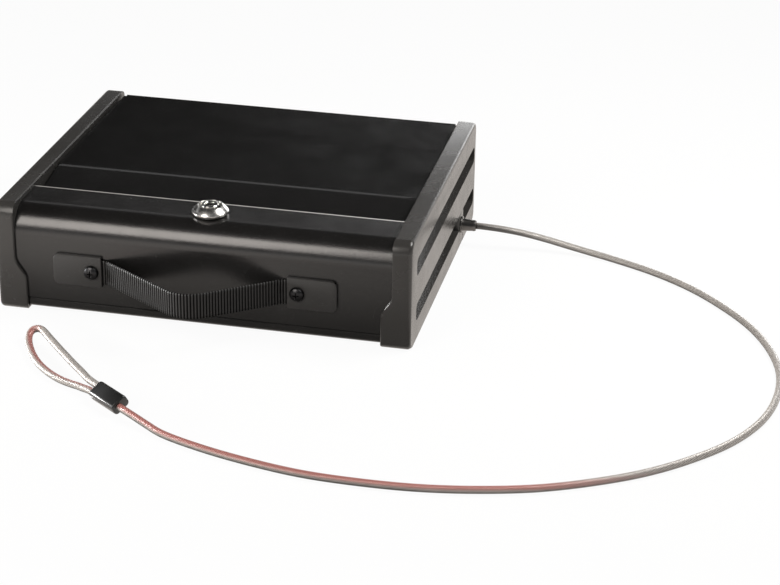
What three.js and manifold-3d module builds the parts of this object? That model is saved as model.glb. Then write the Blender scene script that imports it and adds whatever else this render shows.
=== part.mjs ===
// Portable car safe: sheet-steel box with a rear-hinged lid, moulded end caps, a webbing handle,
// a tubular key lock on the front shelf and a steel security cable with a crimped loop.
// Millimetres, +Z up, front towards -Y. Sections below are drawn with Y = 0 at the caps' front plane;
// the whole object is shifted at the end so that Y = 0 is the middle of its depth.
import * as THREE from 'three';
import { mergeVertices } from 'three/addons/utils/BufferGeometryUtils.js';
import Module from 'manifold-3d';

const wasm = await Module();
wasm.setup();

// Overall box, clearance and sheet
const width = 350;
const depth = 290;
const capHeight = 94.5;
const gap = 0.3;
const sheet = 1.5;

// End caps
const capWall = 13;
const capBack = 5.8;
const capLip = 16;
const capFoot = 25;
const capEdge = 3.2;
const soleEdge = 0.8;
const capCorners = [7, 7, 8, 11];
const stepTop = 47.5;
const stepBottom = 28.5;
const grooveDepth = 8;
const grooveFront = 22;
const grooveRear = depth - 8;
const upperGroove = [capHeight - 37.3, capHeight - 22.3];
const lowerGroove = [17.2, 32.1];
const ribThick = 3;

// Front bar and shelf
const faceY = 3;
const faceBottom = 12.3;
const shelfZ = capHeight - 4.5;
const cornerR = 22;
const shelfRear = 57.8;
const lipHeight = 21.5;

// Tray
const trayHalf = width / 2 - capWall;
const trayRear = depth - capBack;
const trayBottom = 3.8;
const trayBend = 2.5;
const floorTop = trayBottom + sheet;
const wallInner = trayHalf - sheet;
const rimZ = shelfZ - 15.5;
const rimInner = trayHalf - 12;
const rearWallTop = shelfZ - 5.5;
const rearWallHalf = trayHalf - 3.5;

// Lid
const lidHalf = width / 2 - capLip - 1.5;
const lidEdgeY = 106.5;
const lidFront = shelfRear + 2;
const apronZ = shelfZ - 8.1;
const flangeBottom = rimZ + 0.6;

// Hinge
const knuckleR = 2.75;
const pinR = 1.25;
const pinClearance = 0.1;
const knuckles = 13;
const leafThick = 1.2;
const hingeY = depth - knuckleR - 0.05;
const hingeZ = shelfZ - sheet - gap - leafThick + 0.1;
const lidRear = hingeY - knuckleR - 0.55;
const skirtRear = lidRear - 2.4;

// Lock
const lockY = 32.5;
const barrelR = 8.4;
const barrelDepth = 23;
const plugR = 4.2;
const shoulderHeight = 2.5;
const driveHeight = 2.5;
const driveHalf = 2.9;
const camThick = 2.5;
const camHalf = 5.5;
const strikerThick = 2;
const strikerFace = lidFront + sheet + gap;
const camReach = strikerFace + strikerThick + 2.4 - lockY;
const camDrop = barrelDepth + gap + shoulderHeight + driveHeight + 0.2;
const camBottom = shelfZ - camDrop;
const camSweep = Math.sqrt(camReach ** 2 - (strikerFace - lockY) ** 2);
const slotX = [-2 * camHalf, camSweep + camHalf + 0.9];
const slotZ = [camBottom - 1.6, camBottom + camThick + 1.5];

// Handle
const handleX = -5.85;
const handleZ = 41.8;
const plateSpread = 99.15;
const plateLength = 41.5;
const plateHeight = 27;
const plateSheet = 1.2;
const plateFront = faceY - 3.4;
const screwInset = 8.6;
const screwR = 3;
const strapWidth = 21.6;
const strapThick = 1.7;
const strapBow = 50.1;
const strapLean = 5.45;
const strapApexR = 27;

// Liners
const foamThick = 8;
const sideFoamThick = 6;

// Cable outlet and cable
const outletY = depth - 67.5;
const outletZ = 20;
const outletBlock = [outletY - 8.5, outletY + 9.5];
const studR = 3.1;
const bootLength = 13.2;
const bootBase = width / 2 + gap;
const bootEnd = bootBase + bootLength;
const cableR = 3;
const cableFloor = 3.1;
const ferruleLength = 32.5;
const ferruleHalf = 7.4;
const ferruleHeight = 10;
const ferruleCorner = 3.1;
const ferruleMiddle = [-30.4, -143.7];
const ferruleHeading = THREE.MathUtils.degToRad(142.6);
const ferruleRoll = THREE.MathUtils.degToRad(30);
const loopSpread = 3.4;
const runAcross = 1.6;

// Materials
const paint = (name) => new THREE.MeshStandardMaterial({ name, color: 0x24221f, roughness: 0.45, metalness: 0.2 });
const matte = (name) => new THREE.MeshStandardMaterial({ name, color: 0x1b1b1b, roughness: 0.6, metalness: 0.1 });
const plastic = (name) => new THREE.MeshStandardMaterial({ name, color: 0x3a3733, roughness: 0.55, metalness: 0 });
const chrome = (name) => new THREE.MeshStandardMaterial({ name, color: 0xd8d8d6, roughness: 0.12, metalness: 1 });
const zinc = (name) => new THREE.MeshStandardMaterial({ name, color: 0x9c9c98, roughness: 0.35, metalness: 1 });
const blackScrew = (name) => new THREE.MeshStandardMaterial({ name, color: 0x1a1a1a, roughness: 0.3, metalness: 0.8 });
const webbing = (name) => new THREE.MeshStandardMaterial({ name, color: 0x161616, roughness: 0.85, metalness: 0 });
const foam = (name) => new THREE.MeshStandardMaterial({ name, color: 0x2a2a2b, roughness: 0.95, metalness: 0 });
const rubber = (name) => new THREE.MeshStandardMaterial({ name, color: 0x1d1c1b, roughness: 0.5, metalness: 0 });
const wire = (name) => new THREE.MeshStandardMaterial({ name, color: 0xa9a297, roughness: 0.35, metalness: 0.4 });
const ferruleBlack = (name) => new THREE.MeshStandardMaterial({ name, color: 0x0d0d0d, roughness: 0.15, metalness: 0 });

// Solids
function toManifold(geometry) {
  const bare = geometry.clone();
  bare.deleteAttribute('normal');
  bare.deleteAttribute('uv');
  const merged = mergeVertices(bare, 1e-4);
  const index = merged.index.array;
  const triangles = [];
  for (let i = 0; i < index.length; i += 3) {
    const [a, b, c] = [index[i], index[i + 1], index[i + 2]];
    if (a !== b && b !== c && c !== a) triangles.push(a, b, c);
  }
  return new wasm.Manifold(new wasm.Mesh({
    numProp: 3,
    vertProperties: new Float32Array(merged.attributes.position.array),
    triVerts: new Uint32Array(triangles),
  }));
}

function toGeometry(manifold) {
  const mesh = manifold.getMesh();
  const geometry = new THREE.BufferGeometry();
  geometry.setAttribute('position', new THREE.BufferAttribute(new Float32Array(mesh.vertProperties), 3));
  geometry.setIndex(new THREE.BufferAttribute(new Uint32Array(mesh.triVerts), 1));
  geometry.computeVertexNormals();
  return geometry;
}

function cut(body, ...tools) {
  return toGeometry(tools.reduce((left, tool) => left.subtract(toManifold(tool)), toManifold(body)));
}

function join(body, ...others) {
  return toGeometry(others.reduce((sum, other) => sum.add(toManifold(other)), toManifold(body)));
}

function common(a, b) {
  return toGeometry(toManifold(a).intersect(toManifold(b)));
}

const clean = (geometry) => toGeometry(toManifold(geometry));

function box(x0, x1, y0, y1, z0, z1) {
  const geometry = new THREE.BoxGeometry(x1 - x0, y1 - y0, z1 - z0);
  return geometry.translate((x0 + x1) / 2, (y0 + y1) / 2, (z0 + z1) / 2);
}

function outlineOf(points) {
  return new THREE.Shape(points.map(([u, v]) => new THREE.Vector2(u, v)));
}

// A section drawn in Y and Z, drawn out along X from x0 to x1
function alongX(points, x0, x1, options = {}) {
  const geometry = new THREE.ExtrudeGeometry(outlineOf(points), { depth: x1 - x0, bevelEnabled: false, ...options });
  const turn = new THREE.Matrix4().makeBasis(
    new THREE.Vector3(0, 1, 0), new THREE.Vector3(0, 0, 1), new THREE.Vector3(1, 0, 0));
  return geometry.applyMatrix4(turn).translate(x0, 0, 0);
}

// A section drawn in X and Z, drawn out along Y from y0 to y1
function alongY(points, y0, y1, options = {}) {
  const geometry = new THREE.ExtrudeGeometry(outlineOf(points), { depth: y1 - y0, bevelEnabled: false, ...options });
  const turn = new THREE.Matrix4().makeBasis(
    new THREE.Vector3(1, 0, 0), new THREE.Vector3(0, 0, 1), new THREE.Vector3(0, -1, 0));
  return geometry.applyMatrix4(turn).translate(0, y1, 0);
}

// A section drawn in X and Y, drawn up along Z from z0 to z1
function alongZ(points, z0, z1, options = {}) {
  const geometry = new THREE.ExtrudeGeometry(outlineOf(points), { depth: z1 - z0, bevelEnabled: false, ...options });
  return geometry.translate(0, 0, z0);
}

function arc(u, v, radius, from, to, steps) {
  return Array.from({ length: steps + 1 }, (_, i) => {
    const angle = THREE.MathUtils.degToRad(from + (to - from) * i / steps);
    return [u + radius * Math.cos(angle), v + radius * Math.sin(angle)];
  });
}

function roundedRect(u0, u1, v0, v1, r, steps = 4) {
  const [a, b, c, d] = Array.isArray(r) ? r : [r, r, r, r];
  return [
    ...arc(u0 + a, v0 + a, a, 180, 270, steps),
    ...arc(u1 - b, v0 + b, b, 270, 360, steps),
    ...arc(u1 - c, v1 - c, c, 0, 90, steps),
    ...arc(u0 + d, v1 - d, d, 90, 180, steps),
  ];
}

// The path moved t to its left (to its right when t is negative), with mitred corners
function offsetPath(path, t) {
  const unit = (a, b) => {
    const length = Math.hypot(b[0] - a[0], b[1] - a[1]);
    return [(b[0] - a[0]) / length, (b[1] - a[1]) / length];
  };
  return path.map((point, i) => {
    const before = i > 0 ? unit(path[i - 1], point) : unit(point, path[i + 1]);
    const after = i < path.length - 1 ? unit(point, path[i + 1]) : before;
    const k = t / (1 + before[0] * after[0] + before[1] * after[1]);
    return [point[0] - (before[1] + after[1]) * k, point[1] + (before[0] + after[0]) * k];
  });
}

// A bent sheet: the path given is one face, the other face lies t to its left (right when t is negative)
function bentSheet(path, t) {
  const outline = [...path, ...offsetPath(path, t).reverse()];
  return t > 0 ? outline.reverse() : outline;
}

// A path with rounded corners: each point is [u, v, radius]
function rounded(corners, degreesPerStep = 8) {
  const out = [];
  corners.forEach(([u, v, r], i) => {
    if (!r) {
      out.push([u, v]);
      return;
    }
    const here = new THREE.Vector2(u, v);
    const back = new THREE.Vector2(corners[i - 1][0], corners[i - 1][1]).sub(here).normalize();
    const on = new THREE.Vector2(corners[i + 1][0], corners[i + 1][1]).sub(here).normalize();
    const half = Math.acos(THREE.MathUtils.clamp(back.dot(on), -1, 1)) / 2;
    const centre = here.clone().add(back.clone().add(on).normalize().multiplyScalar(r / Math.sin(half)));
    const start = here.clone().add(back.multiplyScalar(r / Math.tan(half))).sub(centre);
    const end = here.clone().add(on.multiplyScalar(r / Math.tan(half))).sub(centre);
    let sweep = end.angle() - start.angle();
    if (sweep > Math.PI) sweep -= 2 * Math.PI;
    if (sweep < -Math.PI) sweep += 2 * Math.PI;
    const steps = Math.max(2, Math.ceil(Math.abs(THREE.MathUtils.radToDeg(sweep)) / degreesPerStep));
    for (let k = 0; k <= steps; k += 1) {
      const angle = start.angle() + sweep * k / steps;
      out.push([centre.x + r * Math.cos(angle), centre.y + r * Math.sin(angle)]);
    }
  });
  return out;
}

// Round solids
const cylinderX = (r, x0, x1, y, z, sides = 24) =>
  new THREE.CylinderGeometry(r, r, x1 - x0, sides).rotateZ(Math.PI / 2).translate((x0 + x1) / 2, y, z);
const cylinderY = (r, y0, y1, x, z, sides = 24) =>
  new THREE.CylinderGeometry(r, r, y1 - y0, sides).translate(x, (y0 + y1) / 2, z);
const cylinderZ = (r, z0, z1, x, y, sides = 24) =>
  new THREE.CylinderGeometry(r, r, z1 - z0, sides).rotateX(Math.PI / 2).translate(x, y, (z0 + z1) / 2);

// A turned piece about Z from [radius, height] points
function turned(points, sides = 24) {
  const profile = points.map(([r, h]) => new THREE.Vector2(r, h));
  return clean(new THREE.LatheGeometry(profile, sides).rotateX(Math.PI / 2));
}

const safe = new THREE.Group();

function place(parent, name, geometry, material, position = [0, 0, 0], rotation = [0, 0, 0]) {
  const mesh = new THREE.Mesh(geometry, material);
  mesh.name = name;
  mesh.position.set(...position);
  mesh.rotation.set(...rotation);
  parent.add(mesh);
  return mesh;
}

const sides = [['left', -1], ['right', 1]];

// Tray: floor, joggled front flange, rear wall, shaped side walls and the rim that the lid's skirts sit on
const frontCorner = arc(faceY + cornerR, shelfZ - cornerR, cornerR, 180, 90, 10);
const floorRun = [
  [faceY + sheet + gap, faceBottom + 16.2], [faceY + sheet + gap, faceBottom - 0.2], [faceY + 0.2, faceBottom - 1.6],
  ...arc(faceY + 0.2 + trayBend, trayBottom + trayBend, trayBend, 180, 270, 4),
  ...arc(trayRear - trayBend, trayBottom + trayBend, trayBend, 270, 360, 4),
  [trayRear, rearWallTop],
];
const wallOutline = [
  [faceY, trayBottom + trayBend], [faceY + trayBend, trayBottom], [trayRear - trayBend, trayBottom],
  [trayRear, trayBottom + trayBend],
  [trayRear, rimZ], [shelfRear, rimZ], [shelfRear, shelfZ], ...frontCorner.slice().reverse(),
];
const rearCorner = (side) => (side < 0
  ? box(-trayHalf - 1, -rearWallHalf, trayRear - 4, trayRear + 1, rimZ, rearWallTop + 1)
  : box(rearWallHalf, trayHalf + 1, trayRear - 4, trayRear + 1, rimZ, rearWallTop + 1));
const wallAt = (side) => (side < 0
  ? alongX(wallOutline, -trayHalf, -trayHalf + sheet)
  : alongX(wallOutline, trayHalf - sheet, trayHalf));
const rimAt = (side) => (side < 0
  ? box(-trayHalf + 0.5, -rimInner, shelfRear + gap, trayRear - 0.5, rimZ - sheet, rimZ)
  : box(rimInner, trayHalf - 0.5, shelfRear + gap, trayRear - 0.5, rimZ - sheet, rimZ));
const capScrewY = [60, depth - 58];
const capScrewZ = (lowerGroove[1] + upperGroove[0]) / 2;
const wallReach = (side) => (side < 0 ? [-trayHalf - 1, -wallInner + 1] : [wallInner - 1, trayHalf + 1]);
const capScrewHoles = sides.flatMap(([, side]) => capScrewY.map((y) =>
  cylinderX(2.4, ...wallReach(side), y, capScrewZ, 12)));
const tray = cut(
  join(alongX(bentSheet(floorRun, sheet), -trayHalf, trayHalf), wallAt(-1), wallAt(1), rimAt(-1), rimAt(1)),
  rearCorner(-1), rearCorner(1), ...capScrewHoles,
  cylinderX(studR + gap, ...wallReach(1), outletY, outletZ, 20));
place(safe, 'tray', tray, paint('tray_paint'));

// Front bar: one bent sheet between the side walls
const barHalf = wallInner - gap;
const barPath = [
  [faceY, faceBottom], ...frontCorner,
  ...arc(shelfRear - 2.2, shelfZ - 2.2, 2.2, 90, 0, 4),
  [shelfRear, shelfZ - lipHeight],
];
const handleScrewX = sides.map(([, side]) => handleX + side * (plateSpread - plateLength / 2 + screwInset));
const frontBar = cut(
  alongX(bentSheet(barPath, -sheet), -barHalf, barHalf),
  cylinderZ(barrelR + gap, shelfZ - 4, shelfZ + 2, 0, lockY),
  ...handleScrewX.map((x) => cylinderY(screwR + gap, faceY - 1, faceY + 4, x, handleZ, 16)));
place(safe, 'front_bar', frontBar, paint('front_paint'));

// End caps: rounded side view crossed with the stepped front view, hollowed for the tray, grooved outside;
// the sole fills the rounded edge out to a nearly square one along the ground
const capInner = width / 2 - capLip;
const footInner = width / 2 - capFoot;
const capSideView = roundedRect(0, depth, 0, capHeight, capCorners, 6);
const stepCurve = Array.from({ length: 9 }, (_, i) => {
  const t = i / 8;
  return [footInner + (capInner - footInner) * (3 * t * t - 2 * t ** 3), stepBottom + (stepTop - stepBottom) * t];
});
const capFrontView = [
  [width, -6], [width, capHeight + 6], [capInner + 1, capHeight + 6], [capInner + 1, capHeight],
  [capInner, capHeight - 1], ...stepCurve.reverse(), ...arc(footInner + 3, 3, 3, 180, 270, 3), [footInner + 3, -6],
].reverse();
const trayRoom = [
  [faceY - gap, trayBottom - gap], [trayRear + gap, trayBottom - gap], [trayRear + gap, rimZ + gap],
  [shelfRear + gap, rimZ + gap], [shelfRear + gap, shelfZ + gap],
  ...arc(faceY + cornerR, shelfZ - cornerR, cornerR + gap, 90, 180, 10),
];
const webInner = trayHalf + 0.4;
const grooveFloor = width / 2 - grooveDepth;
const grooveAt = ([z0, z1]) => alongX(roundedRect(grooveFront, grooveRear, z0, z1, 4.5, 4), grooveFloor, width);
function pocketsBetween(y0, y1, count) {
  const length = (y1 - y0 - ribThick * (count - 1)) / count;
  return Array.from({ length: count }, (_, i) => {
    const start = y0 + i * (length + ribThick);
    return [start, start + length];
  });
}
const ribPockets = [
  [16, capScrewY[0] - 10], ...pocketsBetween(capScrewY[0] + 10, capScrewY[1] - 16, 3), [capScrewY[1] + 12, depth - 16],
];
const soleInset = capEdge - soleEdge;
const soleWidth = 2 * capEdge;
const soleTop = lowerGroove[0] - 6;
const soleView = [
  ...arc(soleInset + capCorners[0], capCorners[0], capCorners[0], 180, 270, 3),
  ...arc(depth - soleInset - capCorners[1], capCorners[1], capCorners[1], 270, 360, 3),
  [depth - soleInset, soleTop], [soleInset, soleTop],
];
const sole = alongX(soleView, width / 2 - soleWidth, width / 2, {
  depth: soleWidth - 2 * soleEdge,
  bevelEnabled: true, bevelThickness: soleEdge, bevelSize: soleEdge, bevelOffset: -soleEdge, bevelSegments: 1,
}).translate(soleEdge, 0, 0);
const capBlank = common(
  join(
    alongX(capSideView, rimInner - 20, width / 2, {
      depth: width / 2 - rimInner + 20 - 2 * capEdge,
      bevelEnabled: true, bevelThickness: capEdge, bevelSize: capEdge, bevelOffset: -capEdge, bevelSegments: 4,
    }).translate(capEdge, 0, 0),
    sole),
  alongY(capFrontView, 0, depth, {
    depth: depth - 1.6,
    bevelEnabled: true, bevelThickness: 0.8, bevelSize: 0.8, bevelOffset: -0.8, bevelSegments: 1,
  }).translate(0, -0.8, 0));
const capBody = cut(
  capBlank,
  alongX(trayRoom, rimInner - 30, webInner),
  grooveAt(upperGroove), grooveAt(lowerGroove),
  ...ribPockets.map(([y0, y1]) => box(webInner - 1, width / 2 - 3.6, y0, y1, lowerGroove[1] + 3.6, upperGroove[0] - 3.6)),
  ...capScrewY.map((y) => cylinderX(2.1, webInner - 1, webInner + 8.4, y, capScrewZ, 12)));
const capLeft = clean(toGeometry(toManifold(capBody).mirror([1, 0, 0])));
const capRight = cut(
  capBody,
  box(webInner - 0.2, width, outletBlock[0] - gap, outletBlock[1] + gap, -5, lowerGroove[1]));
place(safe, 'end_cap_left', capLeft, plastic('cap_left_plastic'));
place(safe, 'end_cap_right', capRight, plastic('cap_right_plastic'));

// Cap screws, driven from inside the tray into the caps
const capScrew = turned([
  [0, -9.4], [1.3, -9.4], [1.9, -8.4], [1.9, 0], [4.2, 0], [4.2, 1.1], [3.2, 2.3], [1.6, 2.8], [0, 2.9],
], 16);
for (const [label, side] of sides) {
  capScrewY.forEach((y, i) => {
    place(safe, `cap_screw_${label}_${i === 0 ? 'front' : 'rear'}`, capScrew.clone(), zinc(`cap_screw_${label}_${i}`),
      [side * (wallInner - gap), y, capScrewZ], [0, -side * Math.PI / 2, 0]);
  });
}

// Foam liners
const foamTop = floorTop + gap + foamThick;
const foamRear = trayRear - sheet - 1.7;
const studRelief = cylinderX(8.5, wallInner - 5.5, trayHalf, outletY, outletZ, 20);
place(safe, 'foam_floor',
  cut(box(2.5 - wallInner, wallInner - 2.5, faceY + 5, foamRear, floorTop + gap, foamTop), studRelief),
  foam('foam_floor'));
for (const [label, side] of sides) {
  const outer = wallInner - gap;
  const inner = outer - sideFoamThick;
  const span = side < 0 ? [-outer, -inner] : [inner, outer];
  const reach = side < 0 ? [-outer - 1, -inner + 1] : [inner - 1, outer + 1];
  const reliefs = capScrewY.map((y) => cylinderX(6, ...reach, y, capScrewZ, 16));
  if (side > 0) reliefs.push(studRelief);
  place(safe, `foam_${label}`,
    cut(box(...span, shelfRear + 4.2, foamRear, foamTop + gap, rimZ - sheet - gap), ...reliefs),
    foam(`foam_${label}`));
}

// Handle: cover plates, screws, washers, nuts and the bowed strap
const handle = new THREE.Group();
handle.position.set(handleX, 0, handleZ);
safe.add(handle);
const plateBack = faceY - gap;
for (const [label, side] of sides) {
  const inner = plateSpread - plateLength / 2;
  const outer = plateSpread + plateLength / 2;
  const half = plateHeight / 2;
  const corners = side > 0 ? [1, 5, 5, 1] : [5, 1, 1, 5];
  const span = side > 0 ? [inner, outer] : [-outer, -inner];
  const blank = alongY(roundedRect(...span, -half, half, corners, 4), plateFront, plateBack, {
    depth: plateBack - plateFront - 0.6,
    bevelEnabled: true, bevelThickness: 0.6, bevelSize: 0.6, bevelOffset: -0.6, bevelSegments: 2,
  });
  const trimmed = cut(blank, box(-200, 200, plateBack, plateBack + 5, -50, 50));
  const pocket = side > 0
    ? box(inner - 2, outer - plateSheet, plateFront + plateSheet, 10, -half + plateSheet, half - plateSheet)
    : box(-outer + plateSheet, -inner + 2, plateFront + plateSheet, 10, -half + plateSheet, half - plateSheet);
  const screwX = side * (inner + screwInset);
  place(handle, `handle_plate_${label}`, cut(trimmed, pocket, cylinderY(screwR + gap, -5, 10, screwX, 0, 16)),
    paint(`handle_plate_${label}`));
  const screwBody = turned([
    [0, -15.5], [screwR - 0.6, -15.5], [screwR, -14.9], [screwR, 0], [6.2, 0], [6.2, 1.2], [5.5, 2.7], [3.9, 3.8], [2, 4.2], [0, 4.3],
  ], 24);
  const screw = cut(screwBody, box(-0.5, 0.5, -2.6, 2.6, 1.9, 6), box(-2.6, 2.6, -0.5, 0.5, 1.9, 6));
  place(handle, `handle_screw_${label}`, screw, blackScrew(`handle_screw_${label}`),
    [screwX, plateFront - 0.2, 0], [Math.PI / 2, 0, 0]);
  const inside = faceY + sheet + gap;
  place(handle, `handle_washer_${label}`,
    cut(cylinderY(6.2, 0, 1.2, 0, 0, 20), cylinderY(screwR + 0.2, -1, 3, 0, 0, 20)),
    zinc(`handle_washer_${label}`), [screwX, inside, 0]);
  place(handle, `handle_nut_${label}`,
    cut(cylinderY(5.8, 0, 5, 0, 0, 6), cylinderY(screwR + 0.1, -1, 7, 0, 0, 20)),
    zinc(`handle_nut_${label}`), [screwX, inside + 1.4, 0]);
}
const strapMidY = faceY - 1.25;
const strapEnd = plateSpread - 1;
const strapBend = plateSpread - plateLength / 2 - 4.1;
const strapCentre = rounded([
  [handleX - strapEnd, strapMidY], [handleX - strapBend, strapMidY, 6], [handleX + strapLean, -strapBow, strapApexR],
  [handleX + strapBend, strapMidY, 6], [handleX + strapEnd, strapMidY],
], 6);
const strapOutline = bentSheet(offsetPath(strapCentre, -strapThick / 2), strapThick);
const strap = cut(
  alongZ(strapOutline, handleZ - strapWidth / 2, handleZ + strapWidth / 2),
  ...handleScrewX.map((x) => cylinderY(screwR + gap, -6, 10, x, handleZ, 16)));
place(safe, 'handle_strap', strap, webbing('handle_strap'));

// Lock on the shelf
const lock = new THREE.Group();
lock.position.set(0, lockY, shelfZ);
safe.add(lock);
const collarBore = barrelR + gap;
const flangeR = 9.2;
const flangeZ = 5.5;
const collar = turned([
  [collarBore, 0.2], [12.8, 0.2], [14.1, 0.9], [15.1, 2.2], [15.3, 3.4], [14.7, 4.4], [10.6, 8.3], [10, 8.6],
  [flangeR + gap, 8.2], [flangeR + gap, flangeZ - gap], [collarBore, flangeZ - gap], [collarBore, 0.2],
], 30);
place(lock, 'lock_collar', collar, chrome('lock_collar'));
const plugBore = plugR + 0.1;
const housing = turned([
  [plugBore, -barrelDepth], [barrelR, -barrelDepth], [barrelR, flangeZ], [flangeR, flangeZ], [flangeR, 6.2],
  [8.9, 6.5], [7, 6.5], [6.9, 8.6], [6.3, 9.3], [4.9, 9.3], [plugBore, 8.7], [plugBore, -barrelDepth],
], 24);
place(lock, 'lock_housing', housing, chrome('lock_housing'));
const washerTop = -sheet - gap - 0.1;
place(lock, 'lock_washer',
  cut(cylinderZ(10.8, washerTop - 1.2, washerTop, 0, 0, 24), cylinderZ(barrelR + 0.2, -barrelDepth, 1, 0, 0, 24)),
  zinc('lock_washer'));
const nutTop = washerTop - 1.2 - gap;
place(lock, 'lock_nut',
  cut(cylinderZ(12.6, nutTop - 5, nutTop, 0, 0, 6), cylinderZ(barrelR + 0.1, -barrelDepth, 0, 0, 0, 24)),
  zinc('lock_nut'));
const shoulderTop = -barrelDepth - gap;
const driveTop = shoulderTop - shoulderHeight;
const driveEnd = driveTop - driveHeight;
const plugBody = turned([
  [0, driveEnd], [plugR, driveEnd], [plugR, driveTop], [6.2, driveTop], [6.2, shoulderTop], [plugR, shoulderTop],
  [plugR, 8.1], [plugR - 0.4, 8.5], [0, 8.5],
], 24);
const keyway = cut(cylinderZ(3.6, 2.5, 12, 0, 0, 24), cylinderZ(2, 0, 14, 0, 0, 16));
const squareDrive = cut(
  cylinderZ(8, driveEnd - 1, driveTop, 0, 0, 12),
  box(-driveHalf, driveHalf, -driveHalf, driveHalf, driveEnd - 2, driveTop + 1));
place(lock, 'lock_plug',
  cut(plugBody, keyway, box(-0.8, 0.8, -4.6, -3, 3.5, 12), squareDrive,
    cylinderZ(1.7, driveEnd - 2, driveEnd + 10, 0, 0, 12)),
  zinc('lock_plug'));
const camOutline = [
  ...arc(0, 0, 8, 70, 290, 10), [camReach - 6, -camHalf], ...arc(camReach - 5, 0, 5, -70, 70, 6),
  [camReach - 6, camHalf],
];
const driveHole = driveHalf + 0.2;
place(lock, 'lock_cam',
  cut(alongZ(camOutline, -camDrop, camThick - camDrop),
    box(-driveHole, driveHole, -driveHole, driveHole, -camDrop - 1, camThick - camDrop + 1)),
  zinc('lock_cam'));
const camScrew = turned([
  [0, -3], [3.4, -2.6], [4.3, -1.4], [4.3, 0], [1.6, 0], [1.6, 8], [0, 8],
], 16);
place(lock, 'lock_cam_screw', camScrew, zinc('lock_cam_screw'), [0, 0, -camDrop - gap]);

// Guard box round the lock body, welded under the shelf, open above, with the cam's slot at its rear
const guardSheet = 1.2;
const guardTop = shelfZ - sheet - gap;
const guardBottom = camBottom - 10;
const guardFront = faceY + sheet + 4.5;
const guardRear = shelfRear - sheet - gap;
const guardHalf = camReach + 6.5;
const guardLip = 6;
const guard = cut(
  join(
    box(-guardHalf, guardHalf, guardFront, guardRear, guardBottom, guardTop),
    box(-guardHalf - guardLip, guardHalf + guardLip, faceY + cornerR, guardRear, guardTop - guardSheet, guardTop)),
  box(guardSheet - guardHalf, guardHalf - guardSheet, guardFront + guardSheet, guardRear - guardSheet,
    guardBottom + guardSheet, shelfZ + 5),
  alongX([[guardFront - 1, shelfZ - 16], [faceY + cornerR, shelfZ], [guardFront - 1, shelfZ]],
    -guardHalf - 20, guardHalf + 20),
  box(slotX[0], slotX[1] + 3, guardRear - 3, guardRear + 3, ...slotZ));
place(safe, 'lock_guard', guard, paint('lock_guard'));

// Lid: top, sloped apron, short front flange and side skirts
const lid = new THREE.Group();
safe.add(lid);
const apronSlope = (shelfZ - apronZ) / (lidEdgeY - lidFront - 1);
const lidPath = [[lidRear, shelfZ], [lidEdgeY, shelfZ], [lidFront + 1, apronZ], [lidFront, apronZ - 1], [lidFront, flangeBottom]];
const skirtOutline = [
  [skirtRear, shelfZ - 0.7], [lidEdgeY, shelfZ - 0.7], [lidFront + 1, apronZ - 0.7], [lidFront + 0.5, apronZ - 1.4],
  [lidFront + 0.5, rimZ + gap], [skirtRear, rimZ + gap],
];
const lidPanel = join(
  alongX(bentSheet(lidPath, sheet), -lidHalf, lidHalf),
  alongX(skirtOutline.slice().reverse(), -lidHalf, -lidHalf + sheet),
  alongX(skirtOutline.slice().reverse(), lidHalf - sheet, lidHalf));
place(lid, 'lid_panel', lidPanel, matte('lid_paint'));

// Striker plate behind the lid's flange, with the slot that takes the cam
const strikerTop = apronZ + apronSlope - sheet - gap - 0.2;
place(lid, 'striker_plate',
  cut(alongY(roundedRect(slotX[0] - 15, slotX[1] + 11, slotZ[0] - 7.4, strikerTop, [3, 3, 0.5, 0.5], 3),
    strikerFace, strikerFace + strikerThick),
  box(...slotX, strikerFace - 2, strikerFace + strikerThick + 2, ...slotZ)),
  zinc('striker_plate'));

// Hat-section stiffener and foam pads under the lid
const lidUnder = shelfZ - sheet - gap;
const hatY = (lidEdgeY + lidRear) / 2;
const hatSheet = 1.2;
const hatHeight = 6.5;
const hatFlange = 19;
const hatFoot = 11;
const hatCrown = 8.5;
const hat = bentSheet([
  [hatY - hatFlange, lidUnder], [hatY - hatFoot, lidUnder], [hatY - hatCrown, lidUnder - hatHeight],
  [hatY + hatCrown, lidUnder - hatHeight], [hatY + hatFoot, lidUnder], [hatY + hatFlange, lidUnder],
], -hatSheet);
place(lid, 'lid_stiffener', alongX(hat, 17.5 - lidHalf, lidHalf - 17.5), zinc('lid_stiffener'));
const lidFoamHalf = lidHalf - 11.5;
place(lid, 'lid_foam_front',
  box(-lidFoamHalf, lidFoamHalf, lidEdgeY + 5.5, hatY - hatFlange - 2, lidUnder - foamThick, lidUnder),
  foam('lid_foam_front'));
place(lid, 'lid_foam_rear',
  box(-lidFoamHalf, lidFoamHalf, hatY + hatFlange + 2, lidRear - 18, lidUnder - foamThick, lidUnder),
  foam('lid_foam_rear'));

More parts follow.
